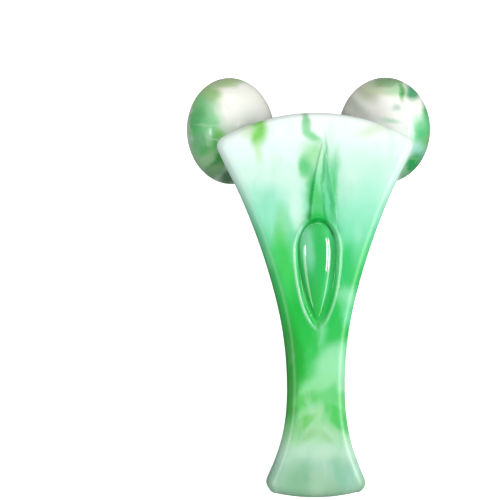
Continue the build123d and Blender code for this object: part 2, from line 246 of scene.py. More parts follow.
def new_object(name, vertices, faces, smooth_angle):
    """A mesh object with consistent normals, smooth except at edges sharper than an angle."""
    mesh = bpy.data.meshes.new(name)
    mesh.from_pydata([tuple(v) for v in vertices], [], faces)
    obj = bpy.data.objects.new(name, mesh)
    bpy.context.scene.collection.objects.link(obj)
    work = bmesh.new()
    work.from_mesh(mesh)
    bmesh.ops.remove_doubles(work, verts=work.verts, dist=1e-7)
    bmesh.ops.recalc_face_normals(work, faces=work.faces)
    limit = math.radians(smooth_angle)
    for edge in work.edges:
        edge.smooth = edge.is_manifold and edge.calc_face_angle(0) < limit
    for face in work.faces:
        face.smooth = True
    work.to_mesh(mesh)
    work.free()
    return obj


def capped_skin(name, loops, smooth_angle):
    """A closed skin over rings with equal numbers of points, with a flat face at each end."""
    count = len(loops[0])
    vertices = [point for ring in loops for point in ring]
    faces = []
    for k in range(len(loops) - 1):
        for i in range(count):
            j = (i + 1) % count
            faces.append((k * count + i, k * count + j, (k + 1) * count + j, (k + 1) * count + i))
    faces.append(tuple(range(count)))
    faces.append(tuple(range((len(loops) - 1) * count, len(loops) * count)))
    return new_object(name, vertices, faces, smooth_angle)


# ---------------------------------------------------------------- the front shell

def row_line(height, x):
    """Y along one row of the front's grid: rows turn from the foot's arc to the head's arc."""
    foot_share = 1 - smooth_step(0, 24, height)
    head_share = smooth_step(112, HEAD_TOP, height)
    return height + foot_share * arc_fall(FOOT_ARC_RADIUS, x) - head_share * arc_fall(HEAD_ARC_RADIUS, x)


def row_half_width(height):
    """Where a row of the front's grid meets the outline."""
    level = HALF_OUTLINE[:, 1] - row_line(height, HALF_OUTLINE[:, 0])
    if height < HEAD_TOP / 2:
        i = int(np.nonzero(level > 1e-6)[0][0])
    else:
        i = int(np.nonzero(level < -1e-6)[0][-1]) + 1
    share = np.clip(-level[i - 1] / (level[i] - level[i - 1]), 0, 1)
    return HALF_OUTLINE[i - 1, 0] + share * (HALF_OUTLINE[i, 0] - HALF_OUTLINE[i - 1, 0])


def drop_half(margin, waist, tip):
    """Points down one side of the drop's outline, or of its seat, from the top to the tip."""
    width = DROP_HALF_WIDTH + margin
    top = DROP_TOP + margin / 2 - DROP_MIDDLE
    turn = np.linspace(math.pi / 2, 0, 40)
    round_end = np.stack([width * np.cos(turn), DROP_MIDDLE + top * np.sin(turn)], 1)
    t = np.linspace(0, 1, 60)[1:, None]
    guide = np.array([(width, DROP_MIDDLE), (width, DROP_SHOULDER), waist, (0, tip)])
    flank = (
        (1 - t) ** 3 * guide[0] + 3 * t * (1 - t) ** 2 * guide[1]
        + 3 * t**2 * (1 - t) * guide[2] + t**3 * guide[3]
    )
    return np.concatenate([round_end, flank])


SEAT_HALF = drop_half(SEAT_MARGIN, SEAT_WAIST, SEAT_TIP)
SEAT_OUTLINE = np.concatenate([SEAT_HALF, SEAT_HALF[-2:0:-1] * [-1, 1]])


def inside_seat(points):
    """Signed distance to the seat's outline, above 0 inside."""
    width = np.interp(points[:, 1], SEAT_HALF[::-1, 1], SEAT_HALF[::-1, 0], left=-1, right=-1)
    sign = np.where(np.abs(points[:, 0]) < width, 1.0, -1.0)
    return sign * distance_to(SEAT_OUTLINE, points[:, :2])


def spire_relief(points):
    """Height of the spire over the front: facets that fall from the flanks to a valley."""
    flank_y = [y for x, y in reversed(SPIRE_FLANK)]
    apex = flank_y[-1]
    x = np.abs(points[:, 0] - SPIRE_X)
    y = points[:, 1]
    flank = clamped_spline(SPIRE_FLANK, (0.28, -1.0), (0.0, -1.0), 60)
    half = np.interp(y, flank[::-1, 1], flank[::-1, 0], right=0)
    share = np.clip((apex - y) / (apex - flank_y[0]), 0, 1)
    valley = SPIRE_APEX_HEIGHT + share * (SPIRE_VALLEY_HEIGHT - SPIRE_APEX_HEIGHT)
    rise = (SPIRE_EDGE_HEIGHT - SPIRE_VALLEY_HEIGHT) / SPIRE_FLANK[-1][0]
    height = valley + rise * np.minimum(x, half)
    past_flank = np.maximum(x - half, 0)
    past_apex = np.maximum(y - apex, 0) + np.maximum(flank_y[0] - y, 0)
    return height * (1 - smooth_step(0, SPIRE_WALL_RUN, np.hypot(past_flank, past_apex)))


def lip_gap(points):
    """The lip's share of its full height: it stops on both sides of the seat's lower end."""
    middle = swell(points[:, 0], LIP_GAP_X, LIP_GAP_RUN)
    return 1 - middle * smooth_step(*LIP_GAP_Y, points[:, 1])


def front_surface(points):
    """Z of the front with its rounded rim, the drop's seat and the spire."""
    points = np.asarray(points, float)
    z = front_level(points[:, 1]) - edge_fall(distance_to(OUTLINE, points))
    past_relief = 2.0
    near = np.abs(points[:, 0]) < RELIEF_HALF_WIDTH + past_relief
    near &= (points[:, 1] > RELIEF_Y[0] - past_relief) & (points[:, 1] < RELIEF_Y[1] + past_relief)
    close = points[near]
    depth = inside_seat(close)
    bed = SEAT_DEPTH * smooth_step(*SEAT_WALL_RUN, depth)
    lip = LIP_HEIGHT * swell(depth, LIP_DEPTH, LIP_RUN) * lip_gap(close)
    spire = spire_relief(close) * (1 - smooth_step(*SPIRE_END_RUN, depth))
    z[near] += spire + lip - bed
    return z


def front_rows():
    """The heights of the grid's rows: fine at the foot's and head's rims and over the relief."""
    rim = EDGE_RADIUS * (1 - np.cos(np.linspace(0, math.pi / 2, 10)))
    return np.concatenate([
        rim,
        np.linspace(EDGE_RADIUS, RELIEF_Y[0], 56)[1:],
        np.linspace(*RELIEF_Y, 260)[1:],
        np.linspace(RELIEF_Y[1], HEAD_TOP - EDGE_RADIUS, 10)[1:],
        (HEAD_TOP - rim)[::-1][1:],
    ])


def front_columns(width):
    """X across one row: fine over the relief and in the rims."""
    band = min(RELIEF_HALF_WIDTH, RELIEF_SHARE * width)
    middle = np.linspace(0, band, 49)
    field = np.linspace(band, width - EDGE_RADIUS, 11)[1:]
    rim = width - EDGE_RADIUS * (1 - np.cos(np.linspace(math.pi / 2, 0, 10)))[1:]
    half = np.concatenate([middle, field, rim])
    return np.concatenate([-half[:0:-1], half])


def border_of(rows, columns):
    """The indices round a grid's border, in order."""
    last = rows - 1
    bottom = list(range(columns))
    right = [r * columns + columns - 1 for r in range(1, rows)]
    top = [last * columns + c for c in range(columns - 2, -1, -1)]
    left = [r * columns for r in range(last - 1, 0, -1)]
    return bottom + right + top + left


def grid_faces(rows, columns, first):
    """Quads over a grid of vertices."""
    faces = []
    for r in range(rows - 1):
        for c in range(columns - 1):
            a = first + r * columns + c
            faces.append((a, a + 1, a + columns + 1, a + columns))
    return faces


def shell_skin(grid, levels, rows, columns, first):
    """Vertices and faces of a grid and of the wall that goes down from its border.

    Each level is a height and how far in from the border the wall stands there.
    """
    border = border_of(rows, columns)
    vertices = [tuple(v) for v in grid]
    faces = grid_faces(rows, columns, first)
    above = [first + i for i in border]
    edge = grid[border]
    for level, inset in levels:
        start = first + len(vertices)
        for i, point in enumerate(edge):
            before = edge[i - 1][:2]
            after = edge[(i + 1) % len(edge)][:2]
            along = after - before
            normal = np.array([-along[1], along[0]]) / max(np.linalg.norm(along), 1e-9)
            vertices.append((point[0] + inset * normal[0], point[1] + inset * normal[1], level))
        below = list(range(start, start + len(edge)))
        for i in range(len(edge)):
            j = (i + 1) % len(edge)
            faces.append((above[i], above[j], below[j], below[i]))
        above = below
    return vertices, faces, above


def make_front_shell():
    """The front half of the handle: its outside, its wall and its inside."""
    heights = front_rows()
    flat = []
    for height in heights:
        x = front_columns(row_half_width(height))
        flat.append(np.stack([x, row_line(height, x)], 1))
    columns = len(flat[0])
    flat = np.concatenate(flat)
    outside = np.column_stack([flat, front_surface(flat)])
    levels = [(1.1, 0.0), (0.5, 0.0), (0.28, 0.02), (0.08, 0.13), (0.0, 0.3)]     # a soft seam
    vertices, faces, outer_foot = shell_skin(outside, levels, len(heights), columns, 0)

    inner = []
    for height in np.linspace(WALL, HEAD_TOP - WALL, INNER_ROWS):
        width = row_half_width(height) - WALL * WALL_LEAN
        x = np.linspace(-width, width, INNER_COLUMNS)
        inner.append(np.stack([x, row_line(height, x)], 1))
    inner = np.concatenate(inner)
    fall = edge_fall(np.maximum(distance_to(OUTLINE, inner) - WALL, 0), EDGE_RADIUS - WALL)
    ceiling = np.column_stack([inner, front_level(inner[:, 1]) - WALL - SEAT_DEPTH - fall])
    more, more_faces, inner_foot = shell_skin(
        ceiling, [(0.0, 0.0)], INNER_ROWS, INNER_COLUMNS, len(vertices))
    vertices += more
    faces += more_faces

    work = bmesh.new()
    for vertex in vertices:
        work.verts.new(vertex)
    work.verts.ensure_lookup_table()
    for face in faces:
        work.faces.new([work.verts[i] for i in face])
    edges = []
    for loop in (outer_foot, inner_foot):
        for i in range(len(loop)):
            edges.append(work.edges.get((work.verts[loop[i]], work.verts[loop[(i + 1) % len(loop)]])))
    bmesh.ops.bridge_loops(work, edges=edges)
    points = row(np.array([v.co[:] for v in work.verts]))
    work.verts.index_update()
    sides = [[v.index for v in face.verts] for face in work.faces]
    work.free()
    return new_object("front_shell_skin", points, sides, smooth_angle=50)


def mark_lip_highlight(obj):
    """Store on each vertex how near it is to the crest of the seat's lip, for the painted highlight there
    in the material.
    """
    points = unrow(np.array([v.co[:] for v in obj.data.vertices]))
    outside = points[:, 2] > WALL + EDGE_RADIUS
    values = swell(inside_seat(points), CREST_HIGHLIGHT_DEPTH, CREST_HIGHLIGHT_RUN) * outside
    values *= lip_gap(points) * smooth_step(*CREST_HIGHLIGHT_FADE_Y, points[:, 1])
    values *= np.where(points[:, 0] < 0, 1.0, CREST_HIGHLIGHT_RIGHT_SHARE)
    attribute = obj.data.attributes.new(LIP_HIGHLIGHT_ATTRIBUTE, "FLOAT", "POINT")
    attribute.data.foreach_set("value", [float(v) for v in values])


# ---------------------------------------------------------------- the drop

def make_drop():
    """The teardrop cabochon: half-elliptic sections on a flat base, rounded at both ends."""
    half = drop_half(0.0, DROP_WAIST, DROP_TIP)
    turn = np.linspace(0, math.pi, 49)
    loops = []
    for width, y in half[1:-1]:
        base = front_level(y) - SEAT_DEPTH
        height = DROP_DOME * width / DROP_HALF_WIDTH
        arch = [(width * math.cos(t), y, base + height * math.sin(t)) for t in turn]
        under = [(x, y, base) for x in np.linspace(-width, width, 9)[1:-1]]
        loops.append(row(np.array(arch + under)))
    return capped_skin("drop_cabochon", loops, smooth_angle=60)


# ---------------------------------------------------------------- materials

def colour(r, g, b):
    """A screen colour, 0 to 255, as linear light."""
    out = []
    for value in (r, g, b):
        v = value / 255
        out.append(v / 12.92 if v <= 0.04045 else ((v + 0.055) / 1.055) ** 2.4)
    return (*out, 1.0)


def soft_patch_group():
    """A soft-edged ellipsoid mask: 1 inside, 0 outside, with a wide blurred border."""
    group = bpy.data.node_groups.new("SoftPatch", "ShaderNodeTree")
    face = group.interface
    for name, kind in (
        ("Vector", "NodeSocketVector"), ("Centre", "NodeSocketVector"), ("Size", "NodeSocketVector"),
        ("Angle", "NodeSocketFloat"), ("Softness", "NodeSocketFloat"), ("Strength", "NodeSocketFloat"),
    ):
        face.new_socket(name=name, in_out="INPUT", socket_type=kind)
    face.new_socket(name="Mask", in_out="OUTPUT", socket_type="NodeSocketFloat")
    nodes, links = group.nodes, group.links
    start = nodes.new("NodeGroupInput")
    end = nodes.new("NodeGroupOutput")
    away = nodes.new("ShaderNodeVectorMath")
    away.operation = "SUBTRACT"
    turn = nodes.new("ShaderNodeVectorRotate")
    turn.rotation_type = "Z_AXIS"
    share = nodes.new("ShaderNodeVectorMath")
    share.operation = "DIVIDE"
    length = nodes.new("ShaderNodeVectorMath")
    length.operation = "LENGTH"
    outer = nodes.new("ShaderNodeMath")
    outer.operation = "ADD"
    outer.inputs[0].default_value = 1.0
    inner = nodes.new("ShaderNodeMath")
    inner.operation = "SUBTRACT"
    inner.inputs[0].default_value = 1.0
    ramp = nodes.new("ShaderNodeMapRange")
    ramp.interpolation_type = "SMOOTHSTEP"
    links.new(start.outputs["Vector"], away.inputs[0])
    links.new(start.outputs["Centre"], away.inputs[1])
    links.new(away.outputs[0], turn.inputs["Vector"])
    links.new(start.outputs["Angle"], turn.inputs["Angle"])
    links.new(turn.outputs[0], share.inputs[0])
    links.new(start.outputs["Size"], share.inputs[1])
    links.new(share.outputs[0], length.inputs[0])
    links.new(start.outputs["Softness"], outer.inputs[1])
    links.new(start.outputs["Softness"], inner.inputs[1])
    links.new(length.outputs["Value"], ramp.inputs["Value"])
    links.new(outer.outputs[0], ramp.inputs["From Min"])
    links.new(inner.outputs[0], ramp.inputs["From Max"])
    ramp.inputs["To Min"].default_value = 0.0
    links.new(start.outputs["Strength"], ramp.inputs["To Max"])
    links.new(ramp.outputs[0], end.inputs["Mask"])
    return group


SOFT_PATCH = soft_patch_group()
HANDLE_AXES_SHIFT = -(tilt_matrix().T @ LYING_SHIFT)
RELIEF_DISTANCE = 0.0002        # the depth of the materials' surface relief, in metres


class Paint:
    """A node material under construction, in handle-frame millimetres from a centre."""

    def __init__(self, name, centre=(0.0, 0.0, 0.0)):
        self.material = bpy.data.materials.new(name)
        self.material.use_nodes = True
        self.nodes = self.material.node_tree.nodes
        self.links = self.material.node_tree.links
        self.shader = next(n for n in self.nodes if n.type == "BSDF_PRINCIPLED")
        place = self.nodes.new("ShaderNodeTexCoord")
        frame_map = self.nodes.new("ShaderNodeMapping")
        frame_map.inputs["Scale"].default_value = (1 / MM, 1 / MM, 1 / MM)
        frame_map.inputs["Rotation"].default_value = (-TILT, 0.0, 0.0)
        frame_map.inputs["Location"].default_value = tuple(HANDLE_AXES_SHIFT - np.array(centre))
        self.links.new(place.outputs["Object"], frame_map.inputs["Vector"])
        self.place = frame_map.outputs[0]

    def math(self, operation, a, b=0.0):
        """One arithmetic step on sockets or numbers."""
        node = self.nodes.new("ShaderNodeMath")
        node.operation = operation
        for socket, value in zip(node.inputs, (a, b)):
            if isinstance(value, (int, float)):
                socket.default_value = value
            else:
                self.links.new(value, socket)
        return node.outputs[0]

    def noise(self, scale, detail=2.0, stretch=(1.0, 1.0, 1.0), roughness=0.5):
        """Noise with a scale per millimetre, finer along the stretched axes."""
        mapping = self.nodes.new("ShaderNodeMapping")
        mapping.inputs["Scale"].default_value = stretch
        self.links.new(self.place, mapping.inputs["Vector"])
        node = self.nodes.new("ShaderNodeTexNoise")
        node.inputs["Scale"].default_value = scale
        node.inputs["Detail"].default_value = detail
        node.inputs["Roughness"].default_value = roughness
        self.links.new(mapping.outputs[0], node.inputs["Vector"])
        return node

    def warp(self, scale, amount, detail=2.0, stretch=(1.0, 1.0, 1.0)):
        """Push the coordinates about with noise, so that everything painted flows like marble."""
        node = self.noise(scale, detail, stretch)
        shift = self.nodes.new("ShaderNodeVectorMath")
        shift.operation = "MULTIPLY_ADD"
        shift.inputs[1].default_value = (amount, amount, amount)
        shift.inputs[2].default_value = (-amount / 2, -amount / 2, -amount / 2)
        self.links.new(node.outputs["Color"], shift.inputs[0])
        add = self.nodes.new("ShaderNodeVectorMath")
        add.operation = "ADD"
        self.links.new(self.place, add.inputs[0])
        self.links.new(shift.outputs[0], add.inputs[1])
        self.place = add.outputs[0]

    def along(self, axis, low, high, stops):
        """A colour that changes along one axis, between two places in millimetres."""
        split = self.nodes.new("ShaderNodeSeparateXYZ")
        self.links.new(self.place, split.inputs[0])
        reach = self.nodes.new("ShaderNodeMapRange")
        reach.inputs["From Min"].default_value = low
        reach.inputs["From Max"].default_value = high
        self.links.new(split.outputs["XYZ".index(axis)], reach.inputs["Value"])
        ramp = self.nodes.new("ShaderNodeValToRGB")
        ramp.color_ramp.interpolation = "EASE"
        elements = ramp.color_ramp.elements
        while len(elements) < len(stops):
            elements.new(0.5)
        for element, (place, shade) in zip(elements, stops):
            element.position = (place - low) / (high - low)
            element.color = colour(*shade)
        self.links.new(reach.outputs[0], ramp.inputs["Fac"])
        return ramp.outputs["Color"]

    def mix(self, factor, under, over):
        """Colour over colour."""
        node = self.nodes.new("ShaderNodeMix")
        node.data_type = "RGBA"
        for socket, value in ((node.inputs[0], factor), (node.inputs[6], under), (node.inputs[7], over)):
            if isinstance(value, (tuple, int, float)):
                socket.default_value = value
            else:
                self.links.new(value, socket)
        return node.outputs[2]

    def spot(self, x, y, z, sizes, angle, softness, strength):
        """The mask of one soft patch."""
        node = self.nodes.new("ShaderNodeGroup")
        node.node_tree = SOFT_PATCH
        self.links.new(self.place, node.inputs["Vector"])
        node.inputs["Centre"].default_value = (x, y, z)
        node.inputs["Size"].default_value = sizes
        node.inputs["Angle"].default_value = math.radians(angle)
        node.inputs["Softness"].default_value = softness
        node.inputs["Strength"].default_value = strength
        return node.outputs["Mask"]

    def patch(self, base, x, y, z, sizes, angle, softness, shade, strength):
        """One soft patch of colour over what is there."""
        return self.mix(self.spot(x, y, z, sizes, angle, softness, strength), base, colour(*shade))

    def mask(self, socket, low, high):
        """A smooth 0 to 1 between two values."""
        node = self.nodes.new("ShaderNodeMapRange")
        node.interpolation_type = "SMOOTHSTEP"
        node.inputs["From Min"].default_value = low
        node.inputs["From Max"].default_value = high
        self.links.new(socket, node.inputs["Value"])
        return node.outputs[0]

    def finish(self, base, roughness, spread, bump, bump_scale, polished=None, **settings):
        """Connect the colour, an uneven gloss, finer where polished, and a very shallow relief."""
        self.links.new(base, self.shader.inputs["Base Color"])
        cloud = self.noise(0.35, 4.0)
        reach = self.nodes.new("ShaderNodeMapRange")
        reach.inputs["To Min"].default_value = roughness - spread
        reach.inputs["To Max"].default_value = roughness + spread
        self.links.new(cloud.outputs["Fac"], reach.inputs["Value"])
        gloss = reach.outputs[0]
        if polished:
            gloss = self.math("MULTIPLY", gloss, self.math("SUBTRACT", 1.0, polished))
        self.links.new(gloss, self.shader.inputs["Roughness"])
        ripple = self.noise(bump_scale, 3.0)
        relief = self.nodes.new("ShaderNodeBump")
        relief.inputs["Strength"].default_value = bump
        relief.inputs["Distance"].default_value = RELIEF_DISTANCE
        self.links.new(ripple.outputs["Fac"], relief.inputs["Height"])
        self.links.new(relief.outputs[0], self.shader.inputs["Normal"])
        for key, value in settings.items():
            self.shader.inputs[key.replace("_", " ")].default_value = value
        return self.material


THROUGH = 400.0     # half depth of a patch that shows on the front and on the back alike

# The marble's ground colours by Y, and the patches over them: middle X and Y, half width and half
# height, clockwise turn in degrees, softness, colour, strength
# The ground's grey-green towards the foot is partly painted shade.
HANDLE_STOPS = [
    (-4, (134, 184, 144)), (4, (148, 194, 160)), (12, (162, 206, 180)), (18, (180, 222, 194)),
    (24, (164, 219, 172)), (30, (124, 210, 134)), (40, (108, 210, 124)), (54, (52, 195, 86)),
    (72, (38, 192, 82)), (84, (54, 198, 98)), (93, (86, 212, 128)), (101, (108, 215, 157)),
    (109, (145, 229, 189)), (116, (182, 238, 213)), (124, (211, 246, 231)), (132, (229, 251, 243)),
    (140, (240, 253, 247)), (150, (244, 253, 249)),
]
HANDLE_PATCHES = [
    # the head: a yellow-green blotch, a wavy streak, pale ground
    (-22.0, 139.8, (3.0, 6.4), 2, 0.55, (124, 212, 92), 1.0),
    (-21.6, 131.5, (1.6, 4.0), 0, 0.8, (190, 234, 176), 0.6),
    (-25.8, 140.6, (3.0, 2.8), 0, 0.8, (198, 230, 178), 0.7),
    (-3.6, 143.9, (1.4, 4.2), 0, 0.7, (142, 204, 152), 1.0),
    (-3.4, 139.6, (1.3, 3.4), -12, 0.7, (146, 220, 166), 1.0),
    (-1.2, 136.9, (1.3, 3.2), -44, 0.7, (140, 218, 158), 1.0),
    (22.0, 140.6, (6.0, 2.0), -16, 0.8, (206, 224, 188), 0.6),
    (11.0, 134.0, (5.0, 8.0), 0, 0.9, (226, 250, 243), 0.5),
    (17.0, 125.6, (12.0, 7.0), 0, 0.9, (194, 238, 218), 0.65),
    # under it, the greens that frame the spire
    (2.8, 117.5, (5.6, 13.0), 3, 0.55, (118, 217, 156), 1.0),
    (-1.6, 130.6, (3.8, 4.4), 14, 0.8, (158, 226, 164), 0.95),
    (-4.6, 126.2, (1.9, 3.8), 0, 0.7, (96, 204, 126), 0.95),
    (6.6, 117.0, (1.6, 13.0), 5, 0.7, (76, 202, 124), 0.8),
    (-0.8, 113.6, (2.3, 12.0), -7, 0.6, (48, 192, 94), 0.95),
    (1.6, 110.5, (3.2, 7.0), 0, 0.6, (40, 188, 92), 0.9),
    (-0.4, 106.2, (5.4, 3.6), 0, 0.6, (30, 182, 78), 0.95),
    # painted light and shade on the spire: a paler strip on its right facet, darker lines along its valley
    # and its right edge
    (4.6, 114.0, (1.1, 8.0), 3, 0.8, (112, 224, 166), 0.8),
    (2.7, 121.0, (0.55, 11.0), 2, 0.9, (56, 176, 104), 0.8),
    (5.7, 117.0, (0.7, 14.0), -8, 0.9, (62, 184, 112), 0.8),
    # pale strips and patches beside it
    (-7.8, 113.5, (2.3, 11.0), -3, 0.6, (208, 246, 228), 0.9),
    (-18.2, 110.0, (5.2, 8.0), -20, 0.7, (150, 231, 198), 0.8),
    (18.4, 112.0, (5.0, 12.0), 16, 0.8, (158, 237, 202), 0.6),
    (13.6, 99.0, (3.6, 9.0), 12, 0.8, (126, 227, 181), 0.7),
    # the greens down the grip
    (-13.2, 106.0, (2.8, 5.0), -6, 0.8, (132, 220, 156), 0.8),
    (-13.8, 100.0, (2.4, 4.0), -6, 0.8, (112, 212, 124), 0.8),
    (-12.6, 88.0, (3.0, 12.0), -9, 0.7, (58, 202, 86), 0.95),
    (10.4, 88.0, (3.2, 9.0), 10, 0.7, (46, 198, 104), 0.95),
    (12.2, 76.5, (3.4, 3.6), -34, 0.8, (138, 226, 174), 0.8),
    (11.2, 69.8, (2.6, 3.6), -10, 0.8, (112, 222, 162), 0.8),
    (-8.0, 66.0, (3.8, 12.0), -4, 0.7, (20, 186, 60), 0.95),
    (-9.4, 52.0, (3.6, 16.0), 0, 0.55, (20, 168, 46), 1.0),
    (-3.8, 61.5, (2.8, 5.0), -12, 0.7, (30, 190, 68), 0.8),
    # the pale streak that widens down the grip
    (2.4, 62.0, (1.5, 6.0), 6, 0.8, (96, 212, 130), 0.85),
    (8.6, 55.0, (5.4, 4.6), -32, 0.7, (142, 226, 170), 0.9),
    (4.6, 49.5, (6.6, 5.0), -38, 0.6, (150, 229, 172), 0.95),
    (10.2, 46.0, (2.6, 8.0), 0, 0.7, (168, 231, 190), 0.75),
    (0.4, 44.2, (5.6, 3.0), -34, 0.7, (144, 226, 160), 0.9),
    (-2.6, 41.0, (3.6, 2.2), -40, 0.8, (132, 220, 144), 0.8),
    # waves above the foot
    (-9.8, 38.0, (2.4, 9.0), 2, 0.6, (54, 170, 60), 0.95),
    (-4.5, 38.2, (5.0, 2.2), -22, 0.6, (92, 200, 98), 0.9),
    (8.6, 37.0, (3.8, 3.0), 40, 0.7, (100, 208, 116), 0.85),
    (6.6, 31.6, (5.6, 2.4), 47, 0.4, (76, 200, 92), 0.95),
    (10.2, 28.0, (2.2, 3.8), -20, 0.6, (84, 196, 104), 0.9),
    (-3.2, 33.2, (3.8, 1.3), -26, 0.7, (142, 213, 142), 0.9),
    (0.8, 32.0, (1.5, 4.6), 0, 0.7, (154, 219, 158), 0.95),
    (-5.2, 28.8, (5.4, 2.1), -38, 0.4, (108, 200, 100), 0.95),
    (0.6, 26.6, (3.4, 2.4), 0, 0.8, (166, 220, 170), 0.9),
    (-8.6, 25.4, (2.8, 4.0), 20, 0.8, (124, 198, 128), 0.85),
    (-3.5, 24.0, (3.8, 1.5), -36, 0.95, (140, 200, 130), 0.75),
    (3.0, 23.8, (2.6, 1.4), 42, 0.95, (144, 202, 132), 0.7),
    # the greyer foot, its grey partly painted shade
    (1.6, 17.6, (4.0, 2.6), 0, 0.9, (188, 225, 196), 0.7),
    (-10.4, 16.0, (2.6, 5.0), -16, 0.8, (166, 210, 180), 0.7),
    (-7.2, 7.6, (5.0, 5.6), 24, 0.8, (130, 184, 146), 0.8),
    (-0.6, 4.8, (2.6, 6.0), 0, 0.9, (164, 206, 172), 0.7),
    (10.6, 8.6, (3.8, 5.6), -20, 0.8, (136, 196, 168), 0.8),
]


def marbled_shell():
    """Jade-like moulded resin: white and green run into each other down the handle, with a painted
    highlight along the seat's lip and painted light and shade on the spire.
    """
    paint = Paint("marbled_shell")
    fine = paint.place
    paint.warp(0.1, 4.6, 1.5, (1.0, 0.8, 2.5))
    paint.warp(0.4, 0.9, 1.0)
    base = paint.along("Y", -4, 150, HANDLE_STOPS)
    for x, y, sizes, angle, softness, shade, strength in HANDLE_PATCHES:
        base = paint.patch(base, x, y, 0, (*sizes, THROUGH), angle, softness, shade, strength)
    wisps = paint.noise(0.16, 3.0, (1.0, 0.3, 1.0), 0.5)
    pale = paint.math("MULTIPLY", paint.mask(wisps.outputs["Fac"], 0.52, 0.78), 0.24)
    base = paint.mix(pale, base, colour(214, 246, 228))
    deep = paint.math("MULTIPLY", paint.mask(wisps.outputs["Fac"], 0.47, 0.24), 0.16)
    base = paint.mix(deep, base, colour(40, 176, 84))
    paint.place = fine
    # a painted highlight: a pale line along the crest of the seat's lip
    lip = paint.nodes.new("ShaderNodeAttribute")
    lip.attribute_name = LIP_HIGHLIGHT_ATTRIBUTE
    base = paint.mix(paint.math("MULTIPLY", lip.outputs["Fac"], 0.6), base, colour(204, 250, 226))
    polished = paint.spot(0, 86.0, FRONT_CROWN, (10.2, 22.6, 4.0), 0, 0.08, 0.7)      # round the drop
    return paint.finish(
        base, 0.36, 0.04, 0.06, 0.5, polished, IOR=1.5, Coat_Weight=0.04, Coat_Roughness=0.2)


DROP_STOPS = [
    (64, (40, 190, 66)), (76, (38, 186, 76)), (86, (42, 190, 92)), (95, (56, 194, 104)),
    (101, (70, 198, 112)), (107, (38, 182, 82)),
]
DROP_PATCHES = [
    # the paler band down the drop's left side: partly its own colour, partly a painted reflection
    (-3.9, 96.0, (2.2, 8.0), -4, 0.6, (132, 220, 172), 0.8),
    (0.6, 96.0, (1.8, 10.0), 0, 0.7, (34, 184, 84), 0.8),
    (4.4, 84.0, (1.4, 9.0), 12, 0.7, (74, 210, 132), 0.7),
    (5.6, 92.0, (1.2, 10.0), 4, 0.7, (24, 160, 76), 0.8),
    (-2.2, 76.0, (2.0, 7.0), -10, 0.8, (30, 184, 72), 0.6),
]


def drop_material():
    """The inlaid drop: deeper, clearer green with a harder polish, and a painted reflection down its left
    side.
    """
    paint = Paint("polished_drop")
    paint.warp(0.14, 3.0, 2.0, (1.0, 0.6, 1.0))
    base = paint.along("Y", 60, 110, DROP_STOPS)
    for x, y, sizes, angle, softness, shade, strength in DROP_PATCHES:
        base = paint.patch(base, x, y, 0, (*sizes, THROUGH), angle, softness, shade, strength)
    return paint.finish(base, 0.07, 0.02, 0.03, 0.4, IOR=1.55, Coat_Weight=0.6, Coat_Roughness=0.02)


# Patches over the rollers' marble, from each roller's centre. Those that show beside the handle go
# from the front to the middle of the roller. The hidden ones lie behind, with a Z and a half depth
# of their own.
FACING = (9.0, 17.0)     # middle Z and half depth of the patches in front
LEFT_PATCHES = [
    (-9.0, -9.0, (8.0, 11.0), 30, 0.7, (152, 202, 150), 0.9),
    (-2.0, 19.4, (8.4, 2.4), -8, 0.6, (176, 208, 148), 0.95),
    (-9.4, 14.4, (5.4, 3.8), 42, 0.5, (166, 210, 140), 1.0),
    (-13.4, 9.6, (2.4, 7.0), -32, 0.4, (160, 208, 142), 1.0),
    (-10.6, 8.4, (2.8, 6.6), -26, 0.6, (124, 210, 138), 1.0),
    (-7.6, 5.4, (3.2, 7.0), -10, 0.8, (178, 228, 180), 0.8),
    (-13.6, 2.4, (3.6, 6.6), 0, 0.4, (96, 190, 114), 1.0),
    (-9.8, -0.6, (3.8, 7.4), 4, 0.5, (128, 214, 146), 1.0),
    (-5.8, -1.4, (2.4, 2.2), 20, 0.7, (126, 214, 100), 1.0),
    (-12.4, -5.0, (3.4, 4.4), 14, 0.5, (116, 194, 130), 1.0),
    (-8.6, -6.6, (3.2, 5.4), 28, 0.5, (84, 186, 88), 1.0),
    (-5.6, -11.4, (3.0, 6.0), 32, 0.5, (58, 150, 70), 1.0),
    (-10.8, -11.0, (2.2, 5.2), 40, 0.6, (158, 206, 152), 0.95),
    # greyer patches at the lower edge: partly green marble, partly painted shade
    (-6.8, -15.0, (4.6, 2.4), -40, 0.6, (128, 178, 126), 0.95),
    (-1.4, -17.8, (4.0, 3.4), -30, 0.5, (92, 138, 100), 1.0),
    # painted reflections: two thin pale lines across the roller's middle
    (-9.4, 2.2, (4.2, 0.35), 4, 0.9, (196, 236, 190), 0.6),
    (-6.8, -3.4, (3.2, 0.35), 16, 0.9, (196, 234, 182), 0.6),
]
